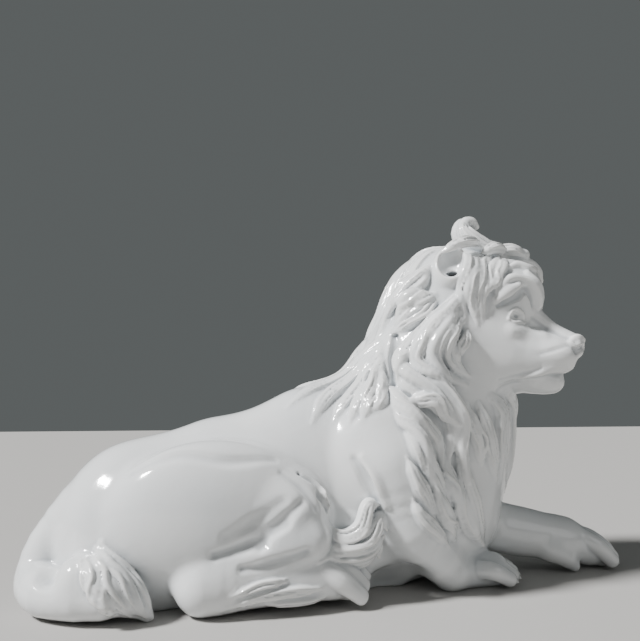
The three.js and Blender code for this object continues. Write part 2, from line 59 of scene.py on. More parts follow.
# The lion is modelled as clay, in millimetres: x forward along the body, y to its left, z up from the floor.
# A grid holds the distance to the clay's skin, negative inside, and every form is pressed into that grid.
clay = {
    "cell": 2,  # size of a cube of the grid
    "low": (-500, -172, -12),
    "high": (522, 172, 622),
    "softening": 1,  # passes that round the clay off, as glaze does
    "softShare": 0.25,  # how much of the rounded clay is taken
    "hollowPasses": 6,  # passes whose result tells hollows from edges
    "triangles": 190000,
}
fillets = {"body": 45, "limb": 22, "foot": 12, "face": 12, "toe": 2, "lock": 2, "strand": 0.6, "crease": 4}

cell = clay["cell"]
gridLow = np.array(clay["low"], np.float32)
gridShape = tuple(int(math.ceil((h - l) / cell)) + 1 for l, h in zip(clay["low"], clay["high"]))
farAway = 200.0
tiny = 1e-6
shortest = 1e-4
millimetre = 0.001
field = np.full(gridShape, farAway, np.float32)


def turnMatrix(yaw=0, pitch=0, roll=0):
    spin = Matrix.Rotation(math.radians(yaw), 3, "Z")
    spin = spin @ Matrix.Rotation(math.radians(pitch), 3, "Y")
    return np.array(spin @ Matrix.Rotation(math.radians(roll), 3, "X"), np.float32)


headPivot = np.array((200, -25, 430), np.float32)  # top of the spine, which the head turns about
headTurn = -30  # degrees, to the lion's right
headSpin = turnMatrix(headTurn)


def ofHead(points):  # from the head's own frame: x along the muzzle, y to the left, z up
    return np.asarray(points, np.float32) @ headSpin.T + headPivot


def same(points):  # this side
    return np.asarray(points, np.float32)


def flip(points):  # the other side
    return np.asarray(points, np.float32) * np.array((1, -1, 1), np.float32)


maneTwistStart = 240  # height where the mane begins to turn with the head


def otherSide(points):  # the other side of the mane, which twists with the head as it climbs the neck
    points = np.asarray(points, np.float32)
    shares = np.clip((points[..., 2] - maneTwistStart) / (headPivot[2] - maneTwistStart), 0, 1)
    angles = np.radians(headTurn * shares * 2)
    middleY = headPivot[1] * shares
    x = points[..., 0] - headPivot[0]
    y = -(points[..., 1] - middleY)
    turned = np.stack((x * np.cos(angles) - y * np.sin(angles), x * np.sin(angles) + y * np.cos(angles)), -1)
    placed = turned + np.stack((np.full_like(middleY, headPivot[0]), middleY), -1)
    return np.concatenate((placed, points[..., 2:]), -1)


def curve(controls, steps):  # points along a smooth curve through a few control points
    p = np.asarray(controls, np.float64)
    p = np.vstack((2 * p[0] - p[1], p, 2 * p[-1] - p[-2]))
    out = []
    for t in np.linspace(0, len(controls) - 1, steps + 1):
        i = min(int(t), len(controls) - 2)
        a, b, c, d = p[i:i + 4]
        runs = [np.linalg.norm(run) for run in (b - a, c - b, d - c)]
        knots = np.cumsum([0] + [max(run, shortest) ** 0.5 for run in runs])
        s = knots[1] + (t - i) * (knots[2] - knots[1])
        ab = a + (b - a) * (s - knots[0]) / (knots[1] - knots[0])
        bc = b + (c - b) * (s - knots[1]) / (knots[2] - knots[1])
        cd = c + (d - c) * (s - knots[2]) / (knots[3] - knots[2])
        abc = ab + (bc - ab) * (s - knots[0]) / (knots[2] - knots[0])
        bcd = bc + (cd - bc) * (s - knots[1]) / (knots[3] - knots[1])
        out.append(abc + (bcd - abc) * (s - knots[1]) / (knots[2] - knots[1]))
    return np.array(out, np.float32)


def along(stops, shares):  # a value that runs smoothly through its stops as the share goes from 0 to 1
    stops = np.asarray(stops, np.float32)
    s = np.clip(np.asarray(shares, np.float32), 0, 1) * (len(stops) - 1)
    i = np.minimum(s.astype(int), len(stops) - 2)
    u = s - i
    return stops[i] + (stops[i + 1] - stops[i]) * u * u * (3 - 2 * u)


def window(low, high):  # the part of the grid between two corners, with the places of its cubes
    start = np.clip(np.floor((np.asarray(low) - gridLow) / cell).astype(int), 0, np.array(gridShape) - 1)
    stop = np.clip(np.ceil((np.asarray(high) - gridLow) / cell).astype(int) + 1, 1, gridShape)
    axes = [np.arange(a, b, dtype=np.float32) * cell + l for a, b, l in zip(start, stop, gridLow)]
    places = (axes[0][:, None, None], axes[1][None, :, None], axes[2][None, None, :])
    return tuple(slice(a, b) for a, b in zip(start, stop)), places


def softMin(a, b, fillet):
    near = np.maximum(fillet - np.abs(a - b), 0)
    return np.minimum(a, b) - near * near / (4 * fillet)


def press(cells, distance, fillet, carve=False):  # adds a form to the clay, or takes it away
    part = field[cells]
    part[...] = -softMin(-part, distance, fillet) if carve else softMin(part, distance, fillet)


def pressMass(form, fillet, inHead=False, side=1, carve=False):  # a rounded mass with three half sizes
    at = np.array(form["at"], np.float32) * (1, side, 1)
    yaw, pitch, roll = form.get("turn", (0, 0, 0))
    spin = turnMatrix(yaw * side, pitch, roll * side)
    if inHead:
        at, spin = ofHead(at), headSpin @ spin
    half = np.array(form["half"], np.float32)
    span = half.max() + fillet + 2 * cell
    cells, (x, y, z) = window(at - span, at + span)
    x, y, z = x - at[0], y - at[1], z - at[2]
    local = [x * spin[0, i] + y * spin[1, i] + z * spin[2, i] for i in range(3)]
    near = np.sqrt(sum((v / h) ** 2 for v, h in zip(local, half)))
    slope = np.sqrt(sum((v / (h * h)) ** 2 for v, h in zip(local, half)))
    press(cells, near * (near - 1) / np.maximum(slope, tiny), fillet, carve)


def pressStrip(points, halves, fillet, carve=False, heights=None, outward=None):
    # a limb along points, flattened where it has heights of its own
    heights = halves if heights is None else heights
    outward = np.zeros_like(points) if outward is None else outward
    reaches = np.maximum(halves, heights) + fillet + 2 * cell
    cells, _ = window(points.min(0) - reaches.max(), points.max(0) + reaches.max())
    least = np.full([part.stop - part.start for part in cells], farAway, np.float32)
    for i in range(len(points) - 1):
        a, b, n, reach = points[i], points[i + 1], outward[i], reaches[i:i + 2].max()
        near, (x, y, z) = window(np.minimum(a, b) - reach, np.maximum(a, b) + reach)
        inside = tuple(slice(p.start - q.start, p.stop - q.start) for p, q in zip(near, cells))
        run = b - a
        x, y, z = x - a[0], y - a[1], z - a[2]
        t = np.clip((x * run[0] + y * run[1] + z * run[2]) / max(float(run @ run), tiny), 0, 1)
        x, y, z = x - t * run[0], y - t * run[1], z - t * run[2]
        up = (x * n[0] + y * n[1] + z * n[2]) ** 2
        flat = np.maximum(x * x + y * y + z * z - up, 0)
        half = (halves[i] + (halves[i + 1] - halves[i]) * t) ** 2
        tall = (heights[i] + (heights[i + 1] - heights[i]) * t) ** 2
        ratio = np.sqrt(flat / half + up / tall)
        slope = np.sqrt(flat / (half * half) + up / (tall * tall))
        away = ratio * (ratio - 1) / np.maximum(slope, tiny)
        np.minimum(least[inside], away, out=least[inside])
    press(cells, least, fillet, carve)


def pressLimb(form, fillet, inHead=False, side=1, carve=False, steps=14):
    path = np.array(form["path"], np.float32) * (1, side, 1)
    points = curve(ofHead(path) if inHead else path, steps)
    pressStrip(points, along(form["radii"], np.linspace(0, 1, steps + 1)), fillet, carve)


def sample(values, points):  # the grid's value at any points
    s = np.clip((points - gridLow) / cell, 0, np.array(gridShape) - 1.001)
    i = s.astype(int)
    u = s - i
    total = 0
    for corner in np.ndindex(2, 2, 2):
        weight = np.prod(np.where(corner, u, 1 - u), -1)
        total = total + weight * values[tuple((i + corner).T)]
    return total


def slopeAt(points):  # the way out of the clay
    steps = np.eye(3, dtype=np.float32) * cell
    return np.stack([(sample(field, points + s) - sample(field, points - s)) / (2 * cell) for s in steps], -1)


seating = {"passes": 6, "leastSlope": 0.05, "longest": 12}


def seat(points, lift):  # the nearest place on the clay's skin, lifted off it
    points = np.asarray(points, np.float32).reshape(-1, 3).copy()
    for step in range(seating["passes"]):
        slope = slopeAt(points)
        steep = np.maximum((slope * slope).sum(-1), seating["leastSlope"])
        move = (sample(field, points) - lift) / steep
        points -= np.clip(move, -seating["longest"], seating["longest"])[:, None] * slope
    return points


creaseSteps = 16


def layRidge(form, inHead=False, side=1, carve=False):  # a fold laid on the skin
    path = np.array(form["path"], np.float32) * (1, side, 1)
    points = seat(curve(ofHead(path) if inHead else path, creaseSteps), form["lift"])
    radii = along(form["radii"], np.linspace(0, 1, creaseSteps + 1))
    pressStrip(points, radii, form.get("fillet", fillets["crease"]), carve)


def drawCrease(form, inHead=False, side=1):  # a groove drawn into the skin
    layRidge(form, inHead, side, carve=True)


# Body
trunk = {
    "pelvis": {"at": (-322, 0, 88), "half": (120, 106, 140)},
    "loin": {"at": (-185, 0, 110), "half": (165, 94, 154), "turn": (0, -5, 0)},
    "ribs": {"at": (-34, 0, 128), "half": (165, 100, 186), "turn": (0, -12, 0)},
    "chest": {"at": (138, 0, 145), "half": (118, 96, 140)},
}
neck = {
    "nape": {
        "path": ((66, 0, 205), (112, 0, 300), (150, -6, 380), (186, -14, 458)),
        "radii": (110, 108, 101, 94),
    },
    "throat": {
        "path": ((174, 0, 110), (182, -6, 215), (192, -14, 300), (194, -25, 380)),
        "radii": (74, 92, 86, 78),
    },
}
hindLeg = {
    "thigh": {"at": (-205, 84, 122), "half": (150, 60, 108), "turn": (0, 5, 0)},
    "knee": {"at": (-112, 106, 118), "half": (54, 40, 60), "turn": (0, 20, 0)},
}
hindBones = {
    "shank": {"path": ((-84, 116, 94), (-150, 119, 74), (-214, 112, 54)), "radii": (33, 28, 27)},
    "foot": {
        "path": ((-226, 108, 40), (-150, 110, 40), (-62, 105, 44), (-24, 100, 30)),
        "radii": (41, 33, 35, 25),
    },
}
forelegs = {
    "nearArm": {
        "path": ((50, -82, 190), (75, -86, 110), (118, -76, 58), (150, -68, 30)),
        "radii": (58, 48, 38, 28),
    },
    "farArm": {
        "path": ((110, 70, 110), (200, 30, 88), (300, 14, 66), (392, 8, 50)),
        "radii": (58, 48, 42, 36),
    },
}
shoulders = {
    "near": {"at": (48, -78, 205), "half": (82, 50, 108), "turn": (0, 12, 0)},
    "far": {"at": (60, 78, 205), "half": (82, 50, 108), "turn": (0, 12, 0)},
}
feet = {
    "nearPaw": {"path": ((146, -66, 24), (186, -60, 22), (226, -54, 22)), "radii": (26, 24, 26)},
    "farPaw": {"path": ((376, 8, 48), (430, 6, 36), (462, 4, 24)), "radii": (37, 32, 24)},
    "tail": {
        "path": (
            (-402, 0, 122), (-438, -4, 82), (-453, -26, 42),
            (-436, -68, 33), (-396, -100, 32), (-357, -114, 31),
        ),
        "radii": (44, 36, 31, 31, 29, 26),
    },
    "innerToe": {"path": ((352, -14, 36), (378, -19, 23), (394, -20, 10)), "radii": (18, 15, 10)},
}
bellyHair = {"at": (-26, -90, 90), "half": (44, 22, 34), "turn": (0, -20, 0)}
toes = {
    "hind": {
        "path": ((-70, 106, 58), (-24, 104, 44), (12, 102, 17)), "radii": (17, 16, 12),
        "spread": 17, "arc": 6, "skew": -0.7, "sides": (-1, 1),
    },
    "near": {
        "path": ((194, -58, 28), (230, -56, 28), (259, -54, 14)), "radii": (14, 14, 12),
        "spread": 20, "arc": 6, "skew": 0.5, "sides": (1,),
    },
    "far": {
        "path": ((410, 8, 58), (456, 8, 42), (484, 8, 16)), "radii": (15, 15, 13),
        "spread": 20, "arc": 10, "skew": 0.3, "sides": (1,),
    },
}
toeRootShare = 0.6  # how far apart the toes start, as a share of their spread at the tips
toeCount = 4


def pressBody():
    for form in trunk.values():
        pressMass(form, fillets["body"])
    for form in neck.values():
        pressLimb(form, fillets["body"])
    for form in shoulders.values():
        pressMass(form, fillets["limb"])
    for form in forelegs.values():
        pressLimb(form, fillets["limb"])
    for side in (-1, 1):
        for form in hindLeg.values():
            pressMass(form, fillets["limb"], side=side)
        for form in hindBones.values():
            pressLimb(form, fillets["foot"], side=side)
    for form in feet.values():
        pressLimb(form, fillets["foot"])
    pressMass(bellyHair, fillets["foot"])


claw = {"reach": 8, "drop": 3, "radii": (6, 5, 2), "fillet": 1.5}


def pressToe(paw, place, side):  # the place runs from -1 to 1 across the paw
    apart = place * paw["spread"] * (toeCount - 1) / 2
    back = paw["arc"] * place * place
    root, *rest = paw["path"]
    path = [(root[0], root[1] + apart * toeRootShare, root[2])]
    path += [(x - back + apart * paw["skew"], y + apart, z) for x, y, z in rest]
    pressLimb({"path": path, "radii": paw["radii"]}, fillets["toe"], side=side)
    x, y, z = path[-1]
    reach, drop = claw["reach"], claw["drop"]
    nail = ((x, y, z), (x + reach, y, z - drop / 2), (x + 2 * reach, y, z - 2 * drop))
    pressLimb({"path": nail, "radii": claw["radii"]}, claw["fillet"], side=side)


def pressToes():
    for paw in toes.values():
        for side in paw["sides"]:
            for place in np.linspace(-1, 1, toeCount):
                pressToe(paw, place, side)


pressBody()
pressToes()
print("body pressed")

# Head
skull = {
    "brain": {"at": (35, 0, 18), "half": (88, 70, 84)},
    "forehead": {"at": (86, 0, 44), "half": (48, 46, 46), "turn": (0, 20, 0)},
    "muzzle": {"at": (122, 0, -64), "half": (62, 40, 38), "turn": (0, 4, 0)},
}
faceLimbs = {
    "noseBridge": {"path": ((108, 0, -4), (146, 0, -34), (176, 0, -52)), "radii": (22, 17, 17)},
    "jaw": {"path": ((30, 0, -85), (105, 0, -104), (142, 0, -111)), "radii": (52, 27, 18)},
}
noseTip = {"at": (179, 0, -56), "half": (14, 25, 20)}
facePairs = {
    "cheek": {"at": (42, 42, -56), "half": (58, 32, 62)},
    "jowl": {"at": (92, 26, -74), "half": (46, 26, 38)},
    "whiskerPad": {"at": (146, 21, -70), "half": (32, 22, 23), "turn": (-12, 10, 0)},
}


def pressHead():
    for form in skull.values():
        pressMass(form, fillets["limb"], inHead=True)
    for form in faceLimbs.values():
        pressLimb(form, fillets["face"], inHead=True)
    pressMass(noseTip, fillets["toe"], inHead=True)
    for side in (-1, 1):
        for name, form in facePairs.items():
            pressMass(form, fillets["face" if name == "whiskerPad" else "limb"], inHead=True, side=side)


pressHead()
print("head pressed")


class Wire:  # a socket of a node tree, with arithmetic
    def __init__(self, tree, socket=None):
        self.tree = tree
        self.socket = socket

    def node(self, kind, sockets=None, settings=None, out=0):
        made = self.tree.nodes.new(kind)
        for name, value in (settings or {}).items():
            setattr(made, name, value)
        for name, value in (sockets or {}).items():
            if isinstance(value, Wire):
                self.tree.links.new(value.socket, made.inputs[name])
            else:
                made.inputs[name].default_value = value
        return Wire(self.tree, made.outputs[out])

    def math(self, operation, *values):
        return self.node("ShaderNodeMath", dict(enumerate(values)), {"operation": operation})

    def __add__(self, other):
        return self.math("ADD", self, other)

    def __sub__(self, other):
        return self.math("SUBTRACT", self, other)

    def __rsub__(self, other):
        return self.math("SUBTRACT", other, self)

    def __mul__(self, other):
        return self.math("MULTIPLY", self, other)

    def __truediv__(self, other):
        return self.math("DIVIDE", self, other)

    def __rtruediv__(self, other):
        return self.math("DIVIDE", other, self)

    __radd__ = __add__
    __rmul__ = __mul__


# Strands of hair: a node tree spreads them over the ribbon of a lock, with a little wandering
strandSteps = 22
seedStep = 10
strandChance = {"shift": 0.1, "thickness": (0.85, 1.15)}


def strandTree():
    tree = bpy.data.node_groups.new("laidStrands", "GeometryNodeTree")
    inputs = {
        "Ribbon": "NodeSocketGeometry", "Strands": "NodeSocketInt", "Steps": "NodeSocketInt",
        "Wander": "NodeSocketFloat", "Waves": "NodeSocketFloat", "Ragged": "NodeSocketFloat",
        "Seed": "NodeSocketInt",
    }
    for name, kind in inputs.items():
        tree.interface.new_socket(name, in_out="INPUT", socket_type=kind)
    tree.interface.new_socket("Strands", in_out="OUTPUT", socket_type="NodeSocketGeometry")
    start = Wire(tree)
    given = tree.nodes.new("NodeGroupInput")
    ask = {name: Wire(tree, given.outputs[name]) for name in inputs}
    line = start.node("GeometryNodeCurvePrimitiveLine")
    line = start.node("GeometryNodeResampleCurve", {"Curve": line, "Count": ask["Steps"]})
    spots = start.node("GeometryNodeMeshLine", {"Count": ask["Strands"]})
    lines = start.node("GeometryNodeInstanceOnPoints", {"Points": spots, "Instance": line})
    lines = start.node("GeometryNodeRealizeInstances", {"Geometry": lines})
    which = start.node("GeometryNodeCurveOfPoint")
    share = start.node("GeometryNodeSplineParameter")

    def chance(low, high, extra):
        sockets = {2: low, 3: high, "ID": which, "Seed": ask["Seed"] + extra}
        return start.node("FunctionNodeRandomValue", sockets, {"data_type": "FLOAT"}, 1)

    run = share * (1 - ask["Ragged"] * chance(0, 1, 1))
    wave = (run * ask["Waves"] + chance(0, 1, 2)) * (2 * math.pi)
    shift = strandChance["shift"]
    across = which + 0.5 + wave.math("SINE", wave) * ask["Wander"] + chance(-shift, shift, 3)
    place = start.node("ShaderNodeCombineXYZ", {"X": across / ask["Strands"], "Y": run})
    position = start.node("GeometryNodeInputPosition")
    vectors = {"data_type": "FLOAT_VECTOR"}
    ribbonMap = start.node("GeometryNodeInputNamedAttribute", {"Name": "ribbonMap"}, vectors)
    laid = start.node("GeometryNodeSampleUVSurface", {
        "Mesh": ask["Ribbon"], "Value": position, "Source UV Map": ribbonMap, "Sample UV": place,
    }, vectors)
    lines = start.node("GeometryNodeSetPosition", {"Geometry": lines, "Position": laid})
    lines = start.node("GeometryNodeStoreNamedAttribute", {
        "Geometry": lines, "Name": "thickness", "Value": chance(*strandChance["thickness"], 4),
    }, {"data_type": "FLOAT", "domain": "POINT"})
    strands = start.node("GeometryNodeCurveToMesh", {"Curve": lines})
    tree.links.new(strands.socket, tree.nodes.new("NodeGroupOutput").inputs["Strands"])
    return tree


laidStrands = strandTree()
sockets = laidStrands.interface.items_tree
strandInputs = {item.name: item.identifier for item in sockets if item.in_out == "INPUT"}
lockShape = {
    "width": (0.5, 0.95, 1, 0.85, 0.25),  # share of a lock's width, from root to tip
    "rise": (0.3, 0.9, 1, 0.8, 0.2),  # share of its height over the clay
    "strand": (0.7, 1, 1, 0.9, 0.5),  # share of a strand's radius
    "thickness": 0.47,  # a strand's radius, as a share of the room that it has
    "lift": 0.75,  # share of its radius that a strand's middle stands off the lock
    "spread": 0.86,  # share of the lock's width that its strands cover
    "columns": 5,
    "easing": 4,  # passes that even out its middle line
    "ribbonEasing": 2,
    "wander": 0.15,  # sideways waves of a strand, as a share of its room
    "waves": 1.2,  # waves along a lock
    "ragged": 0.12,  # share of its length that a strand may fall short
}


def eased(lines, passes):  # points along a line, evened out
    for step in range(passes):
        lines[..., 1:-1, :] = (lines[..., :-2, :] + 2 * lines[..., 1:-1, :] + lines[..., 2:, :]) / 4
    return lines


def unit(vectors):
    return vectors / np.maximum(np.linalg.norm(vectors, axis=-1, keepdims=True), tiny)


def layLock(lock, place, seed):  # a leaf of clay on the skin, with its strands
    shares = np.linspace(0, 1, strandSteps + 1)
    middle = curve(place(lock["path"]), strandSteps)
    if "facing" in lock:
        outward = np.tile(unit(np.array(lock["facing"], np.float32)), (len(middle), 1))
    else:
        middle = eased(seat(middle, 0), lockShape["easing"])
        outward = unit(eased(slopeAt(middle), lockShape["easing"]))
    halves = lock["width"] / 2 * along(lock.get("shape", lockShape["width"]), shares)
    heights = lock["rise"] * along(lockShape["rise"], shares)
    pressStrip(middle, halves, fillets["lock"], heights=heights, outward=outward)
    sideways = unit(np.cross(np.gradient(middle, axis=0), outward))
    across = np.linspace(-1, 1, lockShape["columns"])[:, None, None] * lockShape["spread"]
    room = 2 * halves * lockShape["spread"] / lock["strands"]
    radii = room * lockShape["thickness"] * along(lockShape["strand"], shares)
    ribbon = middle + outward * heights[:, None] + across * sideways * halves[:, None]
    lifts = np.tile(radii * lockShape["lift"], lockShape["columns"])
    ribbon = eased(seat(ribbon, lifts).reshape(ribbon.shape), lockShape["ribbonEasing"])
    paths, thicknesses = strandsOf(lock, ribbon, seed)
    for path, thickness in zip(paths, thicknesses):
        pressStrip(path, radii[1:] * thickness, fillets["strand"])


def strandsOf(lock, ribbon, seed):
    columns, rows = ribbon.shape[:2]
    corners = np.arange(columns * rows).reshape(columns, rows)
    quads = np.stack((corners[:-1, :-1], corners[1:, :-1], corners[1:, 1:], corners[:-1, 1:]), -1)
    mesh = bpy.data.meshes.new("ribbon")
    mesh.from_pydata(ribbon.reshape(-1, 3).tolist(), [], quads.reshape(-1, 4).tolist())
    places = np.zeros((columns, rows, 3), np.float32)
    places[..., 0] = np.linspace(0, 1, columns)[:, None]
    places[..., 1] = np.linspace(0, 1, rows)
    mesh.attributes.new("ribbonMap", "FLOAT_VECTOR", "POINT").data.foreach_set("vector", places.ravel())
    piece = bpy.data.objects.new("ribbon", mesh)
    bpy.context.scene.collection.objects.link(piece)
    laying = piece.modifiers.new("laidStrands", "NODES")
    laying.node_group = laidStrands
    values = {
        "Strands": lock["strands"], "Steps": strandSteps, "Wander": lockShape["wander"],
        "Waves": lockShape["waves"], "Ragged": lockShape["ragged"], "Seed": seed,
    }
    for name, value in values.items():
        laying[strandInputs[name]] = value
    made = bpy.data.meshes.new_from_object(piece.evaluated_get(bpy.context.evaluated_depsgraph_get()))
    points = np.empty(len(made.vertices) * 3, np.float32)
    made.vertices.foreach_get("co", points)
    thickness = np.empty(len(made.vertices), np.float32)
    made.attributes["thickness"].data.foreach_get("value", thickness)
    for block in (made, piece, mesh):
        (bpy.data.objects if block is piece else bpy.data.meshes).remove(block)
    return points.reshape(-1, strandSteps, 3), thickness.reshape(-1, strandSteps)


# Creases and folds of the body, on both sides
bodyCreases = {
    "thigh": {
        "path": ((-214, 139, 84), (-165, 143, 98), (-120, 147, 120)),
        "radii": (4, 8, 3), "lift": 0, "fillet": 9,
    },
    "calf": {
        "path": ((-158, 145, 98), (-126, 146, 126), (-98, 140, 148)),
        "radii": (3, 8, 3), "lift": 1, "fillet": 10,
    },
    "kneeBack": {
        "path": ((-200, 138, 106), (-160, 143, 124), (-124, 142, 150)),
        "radii": (3, 8, 3), "lift": 3, "fillet": 12,
    },
    "hock": {
        "path": ((-178, 142, 66), (-140, 147, 70), (-92, 146, 84)),
        "radii": (3, 7, 4), "lift": 0, "fillet": 8,
    },
    "flank": {
        "path": ((-98, 112, 186), (-70, 114, 164), (-60, 112, 134)),
        "radii": (3, 8, 5), "lift": -2, "fillet": 3,
    },
    "armpit": {
        "path": ((-16, 112, 202), (2, 118, 172), (16, 120, 134)),
        "radii": (3, 8, 4), "lift": 1, "fillet": 8,
    },
    "maneGap": {"path": ((70, 62, 388), (62, 80, 352), (52, 98, 312)), "radii": (6, 12, 6), "lift": -2},
    "haunch": {
        "path": ((-330, 96, 190), (-270, 112, 214), (-200, 118, 200), (-130, 112, 206)),
        "radii": (2, 6, 6, 2), "lift": 3, "fillet": 10,
    },
    "shin": {
        "path": ((-120, 132, 196), (-92, 140, 172), (-72, 142, 140)),
        "radii": (2, 6, 3), "lift": 2, "fillet": 8,
    },
}
bodyFolds = {
    "flank": {
        "path": ((-92, 116, 186), (-64, 119, 168), (-50, 118, 138)),
        "radii": (3, 8, 5), "lift": 0, "fillet": 5,
    },
    "armpit": {
        "path": ((-2, 114, 204), (16, 120, 174), (30, 122, 140)),
        "radii": (3, 8, 4), "lift": -2, "fillet": 8,
    },
}
tailFold = {
    "path": ((-412, -84, 104), (-426, -90, 82), (-428, -96, 66), (-412, -106, 62), (-380, -118, 64)),
    "radii": (6, 15, 17, 15, 6),
}
pressLimb(tailFold, fillets["foot"], carve=True)
underBelly = {  # the hollow behind the elbow
    "at": (52, 104, 4), "half": (60, 70, 42), "turn": (0, -14, 0), "fillet": 10,
}
pressMass(underBelly, underBelly["fillet"], side=-1, carve=True)
for side in (-1, 1):
    for fold in bodyFolds.values():
        layRidge(fold, side=side)
for side in (-1, 1):
    for crease in bodyCreases.values():
        drawCrease(crease, side=side)

# Face
eyeBall = {"at": (87, 43, -10), "half": (14, 10, 12), "fillet": 3}
faceRidges = {
    "brow": {
        "path": (
            (61, 58, 28), (71, 55, 41), (84, 49, 50), (99, 41, 50),
            (111, 31, 43), (117, 22, 29), (118, 16, 12),
        ),
        "radii": (5, 7, 7, 5, 6, 6, 4), "lift": 2, "fillet": 6,
    },
    "browOuter": {
        "path": ((60, 60, 16), (74, 56, 27), (92, 47, 38)),
        "radii": (7, 11, 7), "lift": 0, "fillet": 4,
    },
    "browInner": {
        "path": ((107, 33, 58), (115, 25, 42), (119, 16, 14)),
        "radii": (6, 7, 5), "lift": 0, "fillet": 4,
    },
    "browFold": {
        "path": ((84, 44, 72), (96, 37, 78), (110, 27, 70), (126, 8, 70)),
        "radii": (4, 7, 7, 5), "lift": 1,
    },
    "cheekBone": {
        "path": ((76, 50, -36), (100, 42, -34), (128, 32, -40)),
        "radii": (8, 10, 8), "lift": -5, "fillet": 12,
    },
    "upperLid": {
        "path": ((72, 54, -16), (79, 52, -4), (89, 50, 2), (98, 45, -5), (103, 40, -18)),
        "radii": (2, 3, 3.2, 3, 2), "lift": 0.8, "fillet": 1.5,
    },
    "lowerLid": {
        "path": ((72, 54, -17), (80, 52, -23), (89, 49, -25), (98, 44, -22), (103, 40, -18)),
        "radii": (2, 2.6, 2.6, 2.4, 2), "lift": 0.6, "fillet": 1.5,
    },
    "noseWing": {
        "path": ((186, 6, -48), (178, 17, -46), (168, 22, -54), (166, 20, -66)),
        "radii": (4, 5, 5, 3), "lift": 0, "fillet": 4,
    },
    "lip": {
        "path": ((168, 10, -90), (138, 33, -98), (98, 44, -112)),
        "radii": (9, 11, 9), "lift": -5, "fillet": 6,
    },
}
faceCreases = {
    "mouth": {
        "path": (
            (168, 2, -97), (150, 18, -99), (130, 31, -103),
            (110, 38, -107), (92, 43, -111), (57, 51, -117),
        ),
        "radii": (4, 4.5, 4.5, 4, 3, 1.5), "lift": 0, "fillet": 2,
    },
    "nostril": {
        "path": ((188, 7, -58), (180, 16, -61), (172, 20, -66)),
        "radii": (5, 6, 4), "lift": -1, "fillet": 2,
    },
    "pad": {
        "path": ((164, 22, -62), (144, 34, -66), (122, 40, -70)),
        "radii": (2, 3, 2), "lift": 1, "fillet": 4,
    },
    "socket": {
        "path": ((60, 62, 5), (76, 57, 13), (92, 49, 22), (103, 40, 34), (109, 33, 24), (112, 27, 10)),
        "radii": (3, 6, 7, 7, 5, 3), "lift": 0, "fillet": 2,
    },
    "bridge": {
        "path": ((112, 18, -8), (138, 17, -28), (164, 19, -46)),
        "radii": (3, 5, 3), "lift": 1, "fillet": 5,
    },
    "lipFold": {
        "path": ((122, 36, -94), (92, 45, -101), (58, 53, -106)),
        "radii": (2, 3.5, 2), "lift": 1, "fillet": 4,
    },
    "jawFold": {
        "path": ((112, 36, -117), (86, 43, -122), (56, 51, -126)),
        "radii": (2, 3.5, 2), "lift": 1, "fillet": 4,
    },
    "worry": {"path": ((116, 6, 84), (124, 8, 62), (126, 8, 40)), "radii": (3, 5, 3), "lift": 1, "fillet": 5},
    "pupil": {"path": ((88, 50, -10), (90, 49, -10)), "radii": (3.4, 3.4), "lift": 0, "fillet": 1},
}
chin = {"at": (133, 0, -114), "half": (18, 20, 16)}
ears = {
    "cup": {"at": (-10, 76, 70), "half": (32, 24, 40), "turn": (22, 0, 14), "fillet": 4},
    "bowl": {"at": (-4, 96, 82), "half": (23, 27, 32), "turn": (22, 0, 14), "fillet": 3},
    "vent": {"at": (-6, 70, 60), "half": (9, 34, 5.5), "fillet": 1},
}


def shapeFace():
    pressMass(chin, fillets["face"], inHead=True)
    for side in (-1, 1):
        for name in ("brow", "browOuter", "browInner", "browFold", "cheekBone"):
            layRidge(faceRidges[name], True, side)
        pressMass(eyeBall, eyeBall["fillet"], inHead=True, side=side)
        for name in ("upperLid", "lowerLid", "noseWing", "lip"):
            layRidge(faceRidges[name], True, side)
        for crease in faceCreases.values():
            drawCrease(crease, True, side)


shapeFace()
print("face shaped")

